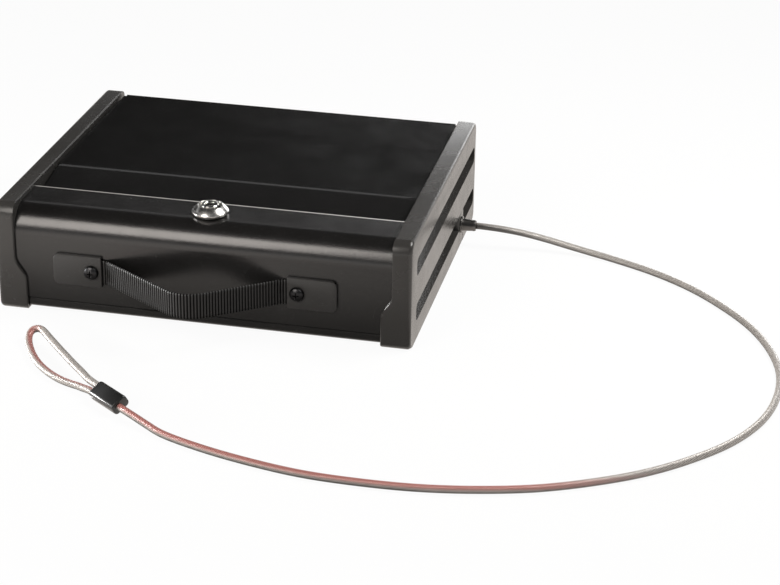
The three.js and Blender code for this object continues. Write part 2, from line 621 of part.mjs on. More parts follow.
// Piano hinge along the rear edge
const hinge = new THREE.Group();
hinge.position.set(0, hingeY, hingeZ);
safe.add(hinge);
const hingeHalf = lidHalf - 1.5;
const knucklePitch = 2 * hingeHalf / knuckles;
function knuckleAt(i) {
  const x0 = -hingeHalf + i * knucklePitch + 0.2;
  return [x0, x0 + knucklePitch - 0.4];
}
const leafHalf = hingeHalf - 0.2;
const baseLeafY = [trayRear + gap - hingeY, trayRear + gap - hingeY + leafThick];
const lidLeafZ = [lidUnder - hingeZ - leafThick, lidUnder - hingeZ];
const basePieces = [box(-leafHalf, leafHalf, ...baseLeafY, -23, -knuckleR - 0.55)];
const lidPieces = [box(-leafHalf, leafHalf, -19, lidRear - hingeY - 0.1, ...lidLeafZ)];
for (let i = 0; i < knuckles; i += 1) {
  const span = knuckleAt(i);
  const barrel = cylinderX(knuckleR, ...span, 0, 0, 16);
  if (i % 2 === 0) {
    basePieces.push(box(...span, ...baseLeafY, -4, 0), barrel);
  } else {
    lidPieces.push(box(...span, -4, 0, ...lidLeafZ), barrel);
  }
}
const hingeBore = cylinderX(pinR + pinClearance, -hingeHalf - 1, hingeHalf + 1, 0, 0, 16);
place(hinge, 'hinge_leaf_base', cut(join(...basePieces), hingeBore), paint('hinge_leaf_base'));
place(hinge, 'hinge_leaf_lid', cut(join(...lidPieces), hingeBore), paint('hinge_leaf_lid'));
place(hinge, 'hinge_pin', cylinderX(pinR, -leafHalf, leafHalf, 0, 0, 16), zinc('hinge_pin'));

// Cable outlet: block in the right cap, steel stud through the wall, tapered boot
const blockFace = width / 2;
const blockBack = trayHalf + 0.7;
place(safe, 'cable_outlet_block',
  cut(alongX(roundedRect(...outletBlock, gap, lowerGroove[1] - gap, 1.2, 2), blockBack, blockFace, {
    depth: blockFace - blockBack - 0.8,
    bevelEnabled: true, bevelThickness: 0.8, bevelSize: 0.8, bevelOffset: -0.8, bevelSegments: 2,
  }),
  box(blockBack - 10, blockBack, outletBlock[0] - 1, outletBlock[1] + 1, -1, lowerGroove[1] + 1),
  cylinderX(studR + gap, blockBack - 10, blockFace + 1, outletY, outletZ, 20)),
  plastic('cable_outlet_block'));
const studEnd = blockFace - 0.6 - wallInner + gap;
place(safe, 'cable_anchor_stud',
  turned([[0, -4.2], [5.6, -4.2], [6.6, -3.2], [6.6, 0], [studR, 0], [studR, studEnd], [0, studEnd]], 20),
  zinc('cable_anchor_stud'), [wallInner - gap, outletY, outletZ], [0, Math.PI / 2, 0]);
place(safe, 'cable_boot',
  turned([
    [0, 0], [7.4, 0], [7.6, 0.4], [7.4, 1.2], [5.6, 1.5], [5.5, 3], [5.3, 7], [5, 10], [5.1, 11.6], [4.7, bootLength],
    [0, bootLength],
  ], 24),
  rubber('cable_boot'), [bootBase, outletY, outletZ], [0, Math.PI / 2, 0]);

// Cable: from the boot down to the ground, round in front of the box to the ferrule, then the loop
const cableSection = outlineOf(Array.from({ length: 10 }, (_, i) => {
  const angle = i / 10 * 2 * Math.PI;
  return [cableR * Math.cos(angle), cableR * Math.sin(angle)];
}));
function cableAlong(points, steps) {
  const path = new THREE.CatmullRomCurve3(points.map((point) => new THREE.Vector3(...point)));
  return new THREE.ExtrudeGeometry(cableSection, { steps, extrudePath: path, bevelEnabled: false });
}
// The ferrule lies on its rounded near edge, rolled so that its far side stands higher
const ferruleAxis = new THREE.Vector3(Math.cos(ferruleHeading), Math.sin(ferruleHeading), 0);
const level = new THREE.Vector3(-ferruleAxis.y, ferruleAxis.x, 0);
const upright = new THREE.Vector3(0, 0, 1);
const ferruleAcross = level.clone().multiplyScalar(Math.cos(ferruleRoll)).addScaledVector(upright, -Math.sin(ferruleRoll));
const ferruleUp = upright.clone().multiplyScalar(Math.cos(ferruleRoll)).addScaledVector(level, Math.sin(ferruleRoll));
const ferruleZ = 0.05 + ferruleCorner + (ferruleHalf - ferruleCorner) * Math.sin(ferruleRoll)
  + (ferruleHeight / 2 - ferruleCorner) * Math.cos(ferruleRoll);
const ferruleCentre = new THREE.Vector3(...ferruleMiddle, ferruleZ);
const ferruleFront = ferruleCentre.clone().addScaledVector(ferruleAxis, -ferruleLength / 2);
const ferruleRear = ferruleCentre.clone().addScaledVector(ferruleAxis, ferruleLength / 2);
const beside = (base, along, across) =>
  base.clone().addScaledVector(ferruleAxis, along).addScaledVector(ferruleAcross, across).toArray();
const g = cableFloor;
const runPoints = [
  [bootEnd + gap, outletY, outletZ], [195, outletY, outletZ], [212.9, 223.5, 18.7], [231.8, 226.1, 15.5],
  [251.6, 227.6, 11.3], [272.5, 226.5, 7.3], [292.4, 223.5, 4.5], [313.5, 216.6, 3.3], [350.6, 197.5, g],
  [384.7, 172.5, g], [414.8, 141.4, g], [439.9, 107.3, g], [457.9, 69.1, g], [468, 28, g], [468, -15.1, g],
  [458.9, -56.3, g], [439.9, -94.4, g], [412.8, -127.5, g], [381.7, -155.6, g], [345.6, -178.6, g],
  [307.4, -196.7, g], [266.3, -208.7, g], [225.2, -215.8, g], [182, -217.8, g], [139.9, -215.8, g],
  [97.8, -207.7, g], [56.7, -195.7, g], [23.5, -181.9, g], [8.8, -172.4, 3.8], [-2.1, -165.8, 5.2],
  beside(ferruleFront, -9, runAcross), beside(ferruleFront, -gap, runAcross),
];
place(safe, 'cable_run', cableAlong(runPoints, 74), wire('cable_run'));
const loopPoints = [
  beside(ferruleRear, gap, loopSpread), beside(ferruleRear, 6, loopSpread), [-57.3, -127.7, 4.1],
  [-62.5, -124.6, 3.6], [-68.5, -121.8, g], [-77.5, -117.9, g], [-86.8, -112, g], [-96.1, -104.3, g],
  [-104.5, -95.7, g], [-112.7, -85.1, g], [-120.1, -73.3, 3.3], [-125.6, -62.7, 4], [-127.9, -56.3, 5.3],
  [-128.4, -52, 6.9], [-127.1, -48.4, 8.3], [-123.6, -47.1, 9.3], [-119.5, -48.6, 9.5], [-115, -53, 9.3],
  [-107.3, -61.7, 8.9], [-95.8, -74.8, 8.6], [-84.9, -87, 8.4], [-74.1, -99.2, 8.4], [-63.6, -110.6, 8.5],
  [-55.2, -120.1, 8.6],
  beside(ferruleRear, 7, -loopSpread), beside(ferruleRear, gap, -loopSpread),
];
place(safe, 'cable_loop', cableAlong(loopPoints, 50), wire('cable_loop'));

// Crimped ferrule: flattened oval, drawn along the cable with softened ends
const ferruleSection = rounded([
  [0, -ferruleHeight / 2, 0], [ferruleHalf, -ferruleHeight / 2, ferruleCorner],
  [ferruleHalf, ferruleHeight / 2, ferruleCorner], [-ferruleHalf, ferruleHeight / 2, ferruleCorner],
  [-ferruleHalf, -ferruleHeight / 2, ferruleCorner], [0, -ferruleHeight / 2, 0],
], 18).slice(0, -1);
const ferruleEdge = 1.4;
const ferrule = clean(new THREE.ExtrudeGeometry(outlineOf(ferruleSection), {
  depth: ferruleLength - 2 * ferruleEdge, bevelEnabled: true, bevelThickness: ferruleEdge, bevelSize: ferruleEdge,
  bevelOffset: -ferruleEdge, bevelSegments: 3,
}).translate(0, 0, ferruleEdge - ferruleLength / 2));
ferrule.applyMatrix4(new THREE.Matrix4().makeBasis(ferruleAcross, ferruleUp, ferruleAxis));
place(safe, 'cable_ferrule', ferrule, ferruleBlack('cable_ferrule'), ferruleCentre.toArray());

// Y = 0 goes to the middle of the depth, from the strap's foremost point to the caps' rear
const strapFront = new THREE.Box3().setFromBufferAttribute(strap.attributes.position).min.y;
safe.position.y = -(strapFront + depth) / 2;

export default safe;
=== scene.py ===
"""Portable car safe: camera, cable, soft parts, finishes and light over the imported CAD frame."""

import math
import random

import bmesh
import bpy
from mathutils import Matrix, Vector


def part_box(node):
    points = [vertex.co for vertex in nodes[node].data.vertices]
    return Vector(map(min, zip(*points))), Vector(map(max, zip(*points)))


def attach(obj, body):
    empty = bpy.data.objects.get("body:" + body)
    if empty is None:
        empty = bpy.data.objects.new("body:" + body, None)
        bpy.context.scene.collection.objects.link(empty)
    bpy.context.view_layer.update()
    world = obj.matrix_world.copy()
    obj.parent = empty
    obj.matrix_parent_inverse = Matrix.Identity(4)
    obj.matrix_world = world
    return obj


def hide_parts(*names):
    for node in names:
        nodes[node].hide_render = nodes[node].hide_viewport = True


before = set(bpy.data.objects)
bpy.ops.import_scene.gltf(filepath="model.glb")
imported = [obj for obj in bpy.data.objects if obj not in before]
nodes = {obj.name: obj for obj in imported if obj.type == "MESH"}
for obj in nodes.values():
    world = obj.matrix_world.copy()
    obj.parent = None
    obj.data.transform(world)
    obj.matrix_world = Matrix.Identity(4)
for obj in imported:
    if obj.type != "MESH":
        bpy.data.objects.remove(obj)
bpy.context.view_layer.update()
scene = bpy.context.scene
MM = 0.001
SAME_PLACE = 2e-5  # metres
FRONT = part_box("end_cap_left")[0].y


def at(x, y, z):
    """A point of the CAD source, in millimetres from the caps' front plane, as a point of the row frame."""
    return Vector((x * MM, y * MM + FRONT, z * MM))


def clamp(value):
    return min(1, max(0, value))


# Camera, fitted to the edges of the safe in the photo

SENSOR_MM = 36
LENS_MM = 101.29
VIEWPOINT = at(482.18, -1552.79, 791.73)
RIGHT = Vector((0.977364, 0.211078, 0.014341))
DOWN = Vector((0.101956, -0.410525, -0.906132))
FORWARD = Vector((-0.185377, 0.887083, -0.422753))

camera = bpy.data.objects.new("camera", bpy.data.cameras.new("camera"))
scene.collection.objects.link(camera)
scene.camera = camera
camera.data.sensor_width = SENSOR_MM
camera.data.lens = LENS_MM
camera.data.clip_start = 0.1
camera.data.clip_end = 20
turned = Matrix((RIGHT, -DOWN, -FORWARD)).transposed().to_4x4()
camera.matrix_world = Matrix.Translation(VIEWPOINT) @ turned


# Node materials

def grey(level):
    return (level, level, level, 1)


def scaled(colour, factor):
    return (*[factor * channel for channel in colour], 1)


class Nodes:
    """Short calls for the nodes of one tree."""

    def __init__(self, tree):
        self.tree = tree

    def link(self, output, socket):
        self.tree.links.new(output, socket)

    def node(self, kind, inputs=None, **settings):
        """A new node. Each input is another node's output or a plain value."""
        made = self.tree.nodes.new(kind)
        for key, value in settings.items():
            setattr(made, key, value)
        for key, value in (inputs or {}).items():
            if isinstance(value, bpy.types.NodeSocket):
                self.link(value, made.inputs[key])
            else:
                made.inputs[key].default_value = value
        return made

    def maths(self, operation, a, b=0):
        return self.node("ShaderNodeMath", {0: a, 1: b}, operation=operation).outputs[0]

    def step(self, value, start, end, low=0.0, high=1.0):
        """A smooth change from low to high while the value goes from start to end."""
        ends = {"Value": value, "From Min": start, "From Max": end, "To Min": low, "To Max": high}
        return self.node("ShaderNodeMapRange", ends, interpolation_type="SMOOTHSTEP").outputs["Result"]

    def mix(self, factor, a, b):
        return self.node("ShaderNodeMix", {0: factor, 6: a, 7: b}, data_type="RGBA").outputs[2]

    def blend(self, factor, a, b):
        """A mix of two shaders."""
        return self.node("ShaderNodeMixShader", {"Fac": factor, 1: a, 2: b}).outputs[0]

    def axes(self, kind):
        """X, Y and Z of a texture coordinate."""
        where = self.node("ShaderNodeTexCoord").outputs[kind]
        return self.node("ShaderNodeSeparateXYZ", {0: where}).outputs


class Shader(Nodes):
    """A Principled material. Its other sockets are set by name, with _ for a space."""

    def __init__(self, name, colour, roughness, metallic=0.0, **sockets):
        self.material = bpy.data.materials.new(name)
        self.material.use_nodes = True
        super().__init__(self.material.node_tree)
        self.sockets = self.tree.nodes["Principled BSDF"].inputs
        self.sockets["Base Color"].default_value = (*colour, 1)
        self.sockets["Roughness"].default_value = roughness
        self.sockets["Metallic"].default_value = metallic
        for socket, value in sockets.items():
            self.sockets[socket.replace("_", " ")].default_value = value
        self.place = self.node("ShaderNodeTexCoord").outputs["Object"]

    def noise(self, scale, detail, roughness=0.5, stretch=(1, 1, 1)):
        where = self.node("ShaderNodeMapping", {"Vector": self.place, "Scale": stretch}).outputs["Vector"]
        inputs = {"Vector": where, "Scale": scale, "Detail": detail, "Roughness": roughness}
        return self.node("ShaderNodeTexNoise", inputs).outputs["Fac"]

    def cells(self, scale):
        return self.node("ShaderNodeTexVoronoi", {"Vector": self.place, "Scale": scale}).outputs["Distance"]

    def attribute(self, name):
        return self.node("ShaderNodeAttribute", attribute_name=name).outputs["Fac"]

    def ramp(self, factor, start, end, top=1):
        """A straight rise from 0 at start to top at end."""
        made = self.node("ShaderNodeValToRGB", {"Fac": factor})
        for element, position, level in zip(made.color_ramp.elements, (start, end), (0, top)):
            element.position = position
            element.color = grey(level)
        return made.outputs["Color"]

    def colour(self, output):
        self.link(output, self.sockets["Base Color"])

    def rough(self, factor, low, high):
        spread = self.node("ShaderNodeMapRange", {"Value": factor, "To Min": low, "To Max": high})
        self.link(spread.outputs["Result"], self.sockets["Roughness"])

    def bump(self, *layers):
        """Each layer is (height output, strength, distance in metres)."""
        normal = None
        for height, strength, distance in layers:
            inputs = {"Height": height, "Strength": strength, "Distance": distance}
            if normal:
                inputs["Normal"] = normal
            normal = self.node("ShaderNodeBump", inputs).outputs["Normal"]
        self.link(normal, self.sockets["Normal"])


DUST = (0.35, 0.34, 0.33, 1)


def powder_coat(name, colour, roughness, grain, speck, **sockets):
    """Sprayed paint: a fine orange-peel skin, faint handling marks in the gloss and pale dust specks."""
    made = Shader(name, colour, roughness, **sockets)
    cloudy = made.noise(9, 3)
    skin = made.noise(grain, 2)
    dust = made.ramp(made.noise(900, 1), 0.70, 0.76, speck)
    made.colour(made.mix(dust, made.mix(cloudy, scaled(colour, 0.86), scaled(colour, 1.16)), DUST))
    made.rough(made.noise(38, 5, 0.6), roughness - 0.07, roughness + 0.09)
    made.bump((skin, 0.25, 0.0002), (made.noise(2200, 1), 0.12, 0.00005))
    return made.material


def moulded(name, colour, roughness):
    """Moulded plastic with a spark-eroded grain."""
    made = Shader(name, colour, roughness)
    made.colour(made.mix(made.noise(14, 4), scaled(colour, 0.88), scaled(colour, 1.14)))
    made.rough(made.noise(60, 4), roughness - 0.06, roughness + 0.08)
    made.bump((made.cells(1500), 0.15, 0.00008), (made.noise(900, 2), 0.35, 0.00014))
    return made.material


def plated(name, colour, roughness, grain=1.0):
    """Plated metal with fine polishing marks."""
    made = Shader(name, colour, roughness, metallic=1.0)
    marks = made.noise(300, 3, 0.6, stretch=(1, 1, 14))
    made.colour(made.mix(made.noise(120, 3), scaled(colour, 0.93), (*colour, 1)))
    made.rough(marks, max(0.03, roughness - 0.05), roughness + 0.1 * grain)
    made.bump((marks, 0.06 * grain, 0.00005))
    return made.material


body_paint = powder_coat("body_paint", (0.010, 0.0097, 0.0094), 0.23, grain=620, speck=0.06, IOR=1.7)
lid_paint = powder_coat("lid_paint", (0.012, 0.012, 0.012), 0.11, grain=900, speck=0.03)
plate_paint = powder_coat("plate_paint", (0.03, 0.029, 0.028), 0.45, grain=700, speck=0.1)
cap_plastic = moulded("cap_plastic", (0.036, 0.0343, 0.0326), 0.25)
chrome = plated("lock_chrome", (0.86, 0.85, 0.83), 0.12)
satin = plated("satin_chrome", (0.8, 0.79, 0.77), 0.22, grain=1.2)
zinc = plated("zinc_plate", (0.62, 0.62, 0.6), 0.28, grain=2.0)
screw_black = plated("screw_black", (0.045, 0.045, 0.047), 0.3)
boot_metal = plated("boot_metal", (0.14, 0.135, 0.13), 0.3)
ferrule_black = Shader("ferrule_black", (0.006, 0.006, 0.006), 0.38, Coat_Weight=0.8, Coat_Roughness=0.28).material


# Finishes of the CAD nodes

WELD_GAP = 1e-6  # metres
SHARP_ANGLE = math.radians(28)

# Material, radius in metres and segments of the rounded edges, nodes
FINISHES = (
    (body_paint, 0.0003, 2, "tray lock_guard hinge_leaf_base hinge_leaf_lid front_bar"),
    (lid_paint, 0.0003, 2, "lid_panel lid_stiffener"),
    (cap_plastic, 0.001, 3, "end_cap_left end_cap_right cable_outlet_block"),
    (plate_paint, 0.0005, 3, "handle_plate_left handle_plate_right"),
    (satin, 0.0003, 3, "lock_collar"),
    (chrome, 0.0002, 2, "lock_housing lock_plug"),
    (screw_black, 0.00015, 2, "handle_screw_left handle_screw_right"),
    (zinc, 0.00015, 2, "handle_washer_left handle_washer_right handle_nut_left handle_nut_right"),
    (zinc, 0.00015, 2, "cap_screw_left_front cap_screw_left_rear cap_screw_right_front cap_screw_right_rear"),
    (zinc, 0.00015, 2, "lock_washer lock_nut lock_cam lock_cam_screw striker_plate hinge_pin cable_anchor_stud"),
    (boot_metal, 0.0003, 3, "cable_boot"),
    (ferrule_black, 0.0017, 5, "cable_ferrule"),
)


def dress(name, material, edge, segments):
    """Gives a CAD node its material, smooth faces and rounded edges."""
    node = nodes[name]
    node.data.materials.clear()
    node.data.materials.append(material)
    with bpy.context.temp_override(object=node, active_object=node):
        bpy.ops.mesh.customdata_custom_splitnormals_clear()
    for face in node.data.polygons:
        face.use_smooth = True
    weld = node.modifiers.new("weld", "WELD")
    weld.merge_threshold = WELD_GAP
    soften = node.modifiers.new("edges", "BEVEL")
    soften.width = edge
    soften.segments = segments
    soften.limit_method = "ANGLE"
    soften.angle_limit = SHARP_ANGLE
    soften.harden_normals = True


def bent(name, line, width, segments):
    """Rounds one straight fold of sheet metal along X: the node's highest edge, at the given place in Y."""
    node = nodes[name]
    group = node.vertex_groups.new(name="fold")
    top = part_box(name)[1].z
    for vert in node.data.vertices:
        place = node.matrix_world @ vert.co
        if abs(place.z - top) < SAME_PLACE and abs(place.y - line) < SAME_PLACE:
            group.add([vert.index], 1.0, "REPLACE")
    fold = node.modifiers.new("fold", "BEVEL")
    fold.width = width
    fold.segments = segments
    fold.limit_method = "VGROUP"
    fold.vertex_group = "fold"
    node.modifiers.move(len(node.modifiers) - 1, 1)  # after the weld, before the other edges
    # Hardened normals would make the flat sheet look curved beside the fold
    node.modifiers["edges"].harden_normals = False
    flat = node.modifiers.new("flat", "WEIGHTED_NORMAL")
    flat.weight = 100


for material, edge, segments, names in FINISHES:
    for name in names.split():
        dress(name, material, edge, segments)

LID_FOLD = at(0, 106.5, 0).y
bar = nodes["front_bar"]
corners = [vert.co for vert in bar.data.vertices]
shelf_top = max(place.z for place in corners)
lip = max(place.y for place in corners if shelf_top - place.z < SAME_PLACE)
bent("lid_panel", LID_FOLD, 0.003, 6)
bent("front_bar", (bar.matrix_world @ Vector((0, lip, shelf_top))).y, 0.0012, 3)

# Where the lid meets it, a pale line is painted along the shelf's rear edge as a painted highlight
PAINTED_HIGHLIGHT = (0.5, 0.485, 0.47, 1)
bar_paint = body_paint.copy()
bar.data.materials[0] = bar_paint
highlight_nodes = Nodes(bar_paint.node_tree)
base_colour = highlight_nodes.tree.nodes["Principled BSDF"].inputs["Base Color"]
x, y, z = highlight_nodes.axes("Object")
near_lip = highlight_nodes.step(y, lip - 0.0013, lip - 0.0008)
near_top = highlight_nodes.step(z, shelf_top - 0.0016, shelf_top - 0.0006)
line = highlight_nodes.maths("MULTIPLY", near_lip, near_top)
# Painted highlight: the pale line is mixed into the bar's base colour
highlight_nodes.link(highlight_nodes.mix(line, base_colour.links[0].from_socket, PAINTED_HIGHLIGHT), base_colour)


# Pieces that stand for CAD nodes

def piece(name, mesh, body, stands_for, material):
    """A smooth visible piece that rides on a body in place of a CAD node."""
    for face in mesh.polygons:
        face.use_smooth = True
    mesh.materials.append(material)
    made = bpy.data.objects.new(name, mesh)
    scene.collection.objects.link(made)
    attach(made, body)
    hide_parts(stands_for)
    return made


def tube_faces(rings, sides, turned=False):
    """The faces of a closed tube whose points are listed ring by ring, with its two ends.

    turned is for rings whose points run the other way round.
    """
    faces = []
    for ring in range(rings - 1):
        here, there = ring * sides, (ring + 1) * sides
        for k in range(sides):
            a, b = k, (k + 1) % sides
            if turned:
                a, b = b, a
            faces.append((here + a, here + b, there + b, there + a))
    first, last = list(range(sides)), list(range((rings - 1) * sides, rings * sides))
    (last if turned else first).reverse()
    return faces + [tuple(first), tuple(last)]


def point_values(mesh, **named):
    for name, values in named.items():
        mesh.attributes.new(name, "FLOAT", "POINT").data.foreach_set("value", values)


def reaches(points):
    """How far along a path each of its points lies."""
    reach = [0.0]
    for a, b in zip(points, points[1:]):
        reach.append(reach[-1] + (b - a).length)
    return reach


def even_steps(points, reach, count):
    """The ends of count even steps along a path, each with the number of the stretch that it lies on."""
    steps, i = [], 0
    for k in range(count + 1):
        want = reach[-1] * k / count
        while i < len(points) - 2 and reach[i + 1] < want:
            i += 1
        share = (want - reach[i]) / (reach[i + 1] - reach[i])
        steps.append((i, points[i].lerp(points[i + 1], min(share, 1))))
    return steps


# Cable and loop

CURVE_STEPS = 60
ROPE_STEP = 0.0015
CABLE_R = 0.003
STRANDS = 12
SAMPLES = 4  # points across a strand
LAY = 0.0215  # metres along the cable for one turn of the strands
GROOVE = 0.00026
STRIPE_HALF, STRIPE_FADE = 1.3, 0.5  # radians round the cable
SHADE_FADE = 0.35  # in radii


def smooth(points):
    """The centripetal curve through the points."""
    ends = [2 * points[0] - points[1], *points, 2 * points[-1] - points[-2]]
    fine = []
    for p0, p1, p2, p3 in zip(ends, ends[1:], ends[2:], ends[3:]):
        d0, d1, d2 = (max((b - a).length, 1e-9) ** 0.5 for a, b in ((p0, p1), (p1, p2), (p2, p3)))
        t1 = ((p1 - p0) / d0 - (p2 - p0) / (d0 + d1) + (p2 - p1) / d1) * d1
        t2 = ((p2 - p1) / d1 - (p3 - p1) / (d1 + d2) + (p3 - p2) / d2) * d1
        for k in range(CURVE_STEPS):
            t = k / CURVE_STEPS
            fine.append(p1 + t1 * t + (3 * (p2 - p1) - 2 * t1 - t2) * t * t + (2 * (p1 - p2) + t1 + t2) * t ** 3)
    fine.append(points[-1])
    return fine


def rope(node, route, stripe, dark_stretch, shade_up_to):
    """A laid wire rope under a clear jacket. stripe(share) gives the tinted strands' angle from the top and strength.

    The underside is darkened with painted shade up to the height shade_up_to, in radii above the centre; over the
    first dark_stretch metres the darkening reaches round to the top.
    """
    curve = smooth(route)
    reach = reaches(curve)
    length = reach[-1]
    line = [point for _, point in even_steps(curve, reach, round(length / ROPE_STEP))]
    sides = STRANDS * SAMPLES
    verts, tint, crest, grime = [], [], [], []
    for i, point in enumerate(line):
        along = (line[min(i + 1, len(line) - 1)] - line[max(i - 1, 0)]).normalized()
        side = along.cross(Vector((0, 0, 1))).normalized()
        top = side.cross(along)
        walked = length * i / (len(line) - 1)
        middle, strength = stripe(i / (len(line) - 1))
        # painted shade on the underside, reaching round to the top over the first stretch
        shade_reach = 0.9 * max(0, 1 - walked / dark_stretch) + shade_up_to
        for k in range(sides):
            turn = 2 * math.pi * (k / sides + walked / LAY)
            height = abs(math.sin(math.pi * (k % SAMPLES) / SAMPLES))
            out = math.cos(turn) * top + math.sin(turn) * side
            verts.append(point + (CABLE_R - GROOVE * (1 - height)) * out)
            off = abs((turn - middle + math.pi) % (2 * math.pi) - math.pi)
            tint.append(strength * clamp((STRIPE_HALF - off) / STRIPE_FADE))
            crest.append(height)
            grime.append(clamp((shade_reach - out.z) / SHADE_FADE))
    name = node + "_rope"
    mesh = bpy.data.meshes.new(name)
    mesh.from_pydata(verts, [], tube_faces(len(line), sides))
    point_values(mesh, tint=tint, crest=crest, grime=grime)
    return piece(name, mesh, "base", node, wire.material), length


# The ferrule lies rolled over on its near edge, in source millimetres
HEADING, ROLL = math.radians(142.6), math.radians(30)
FERRULE_HALF = 16.25
FERRULE_LIFT = 0.05 + 3.1 + 4.3 * math.sin(ROLL) + 1.9 * math.cos(ROLL)
ferrule_mid = Vector((-30.4, -143.7, FERRULE_LIFT))
ferrule_axis = Vector((math.cos(HEADING), math.sin(HEADING), 0))
level = Vector((-ferrule_axis.y, ferrule_axis.x, 0))
ferrule_across = level * math.cos(ROLL) - Vector((0, 0, 1)) * math.sin(ROLL)
LOOP_END, RUN_END = 1, -1


def beside(end, along, across):
    """A point off one end of the ferrule, in source millimetres."""
    return tuple(ferrule_mid + ferrule_axis * (end * FERRULE_HALF + along) + ferrule_across * across)


FLOOR = 3.1  # the centre's height where the cable lies on the floor
run_route = [at(*p) for p in (
    (188.8, 222.5, 20), (195, 222.5, 20), (212.9, 223.5, 18.7), (231.8, 226.1, 15.5), (251.6, 227.6, 11.3),
    (272.5, 226.5, 7.3), (292.4, 223.5, 4.5), (313.5, 216.6, 3.3), (350.6, 197.5, FLOOR), (384.7, 172.5, FLOOR),
    (414.8, 141.4, FLOOR), (439.9, 107.3, FLOOR), (457.9, 69.1, FLOOR), (468, 28, FLOOR), (468, -15.1, FLOOR),
    (458.9, -56.3, FLOOR), (439.9, -94.4, FLOOR), (412.8, -127.5, FLOOR), (381.7, -155.6, FLOOR),
    (345.6, -178.6, FLOOR), (307.4, -196.7, FLOOR), (266.3, -208.7, FLOOR), (225.2, -215.8, FLOOR),
    (182, -217.8, FLOOR), (139.9, -215.8, FLOOR), (97.8, -207.7, FLOOR), (56.7, -195.7, FLOOR),
    (23.5, -181.9, FLOOR), (8.8, -172.4, 3.8), (-2.1, -165.8, 5.2),
    beside(RUN_END, -9, 1.6), beside(RUN_END, -0.3, 1.6))]
loop_route = [at(*p) for p in (
    beside(LOOP_END, 0.3, 3.4), beside(LOOP_END, 6, 3.4),
    (-57.3, -127.7, 4.1), (-62.5, -124.6, 3.6), (-68.5, -121.8, FLOOR),
    (-77.5, -117.9, FLOOR), (-86.8, -112, FLOOR), (-96.1, -104.3, FLOOR), (-104.5, -95.7, FLOOR),
    (-112.7, -85.1, FLOOR), (-120.1, -73.3, 3.3), (-125.6, -62.7, 4), (-127.9, -56.3, 5.3), (-128.4, -52, 6.9),
    (-127.1, -48.4, 8.3), (-123.6, -47.1, 9.3), (-119.5, -48.6, 9.5), (-115, -53, 9.3), (-107.3, -61.7, 8.9),
    (-95.8, -74.8, 8.6), (-84.9, -87, 8.4), (-74.1, -99.2, 8.4), (-63.6, -110.6, 8.5), (-55.2, -120.1, 8.6),
    beside(LOOP_END, 7, -3.4), beside(LOOP_END, 0.3, -3.4))]


def run_stripe(share):
    """The stripe comes up from the underside over the run's near half."""
    near = clamp((share - 0.56) / 0.12)
    return math.radians(-150 + 145 * near), near


def loop_stripe(share):
    """The stripe shows along the loop's near strand, up to the tip."""
    return math.radians(45), 1 - clamp((share - 0.5) / 0.06)


wire = Shader("coated_cable", (0.4, 0.37, 0.34), 0.36, metallic=0.15, Coat_Weight=0.35, Coat_Roughness=0.2)
crests = wire.ramp(wire.attribute("crest"), 0.15, 0.8)
tinted = wire.attribute("tint")
steel = wire.mix(wire.noise(240, 3), (0.44, 0.415, 0.39, 1), (0.70, 0.66, 0.625, 1))
red = wire.mix(wire.noise(420, 2), (0.50, 0.20, 0.18, 1), (0.62, 0.31, 0.28, 1))
# Painted shade: the grooves between the strands are coloured darker than their crests
groove_shade = wire.mix(tinted, (0.07, 0.062, 0.055, 1), (0.24, 0.07, 0.055, 1))
strand_colour = wire.mix(crests, groove_shade, wire.mix(tinted, steel, red))
# Painted shade: the strands are darkened towards near-black where the grime attribute is high
wire.colour(wire.mix(wire.maths("MULTIPLY", wire.attribute("grime"), 0.85), strand_colour, (0.03, 0.027, 0.024, 1)))
wire.rough(wire.noise(500, 2), 0.22, 0.38)
wire.bump((wire.noise(1800, 2), 0.15, 0.00005))

run, run_length = rope("cable_run", run_route, run_stripe, dark_stretch=0.06, shade_up_to=0.12)
loop, loop_length = rope("cable_loop", loop_route, loop_stripe, dark_stretch=0.001, shade_up_to=-0.1)


# Handle strap, in source millimetres

HANDLE_X, HANDLE_Z = -5.85, 41.8
STRAP_Y, HALF_WIDTH, HALF_THICK = 1.75, 10.8, 0.85
PATH_STEP = 0.4
RIB = 2.55
RIB_ROWS = 6
RIB_DEPTH = 0.68
WIDTH_STEPS = 12
SOFT_EDGE = 1.1


def rounded(corners, step):
    """A path whose corners, given as (x, y, radius), are arcs, in points no more than step apart."""
    out = []
    for i, (x, y, r) in enumerate(corners):
        here = Vector((x, y))
        if not r:
            out.append(here)
            continue
        back = (Vector(corners[i - 1][:2]) - here).normalized()
        on = (Vector(corners[i + 1][:2]) - here).normalized()
        half = back.angle(on) / 2
        centre = here + (back + on).normalized() * (r / math.sin(half))
        start = here + back * (r / math.tan(half)) - centre
        sweep = start.angle_signed(here + on * (r / math.tan(half)) - centre)
        steps = max(2, math.ceil(abs(sweep) * r / step))
        for k in range(steps + 1):
            a = -sweep * k / steps
            out.append(centre + Vector((start.x * math.cos(a) - start.y * math.sin(a),
                                        start.x * math.sin(a) + start.y * math.cos(a))))
    return out


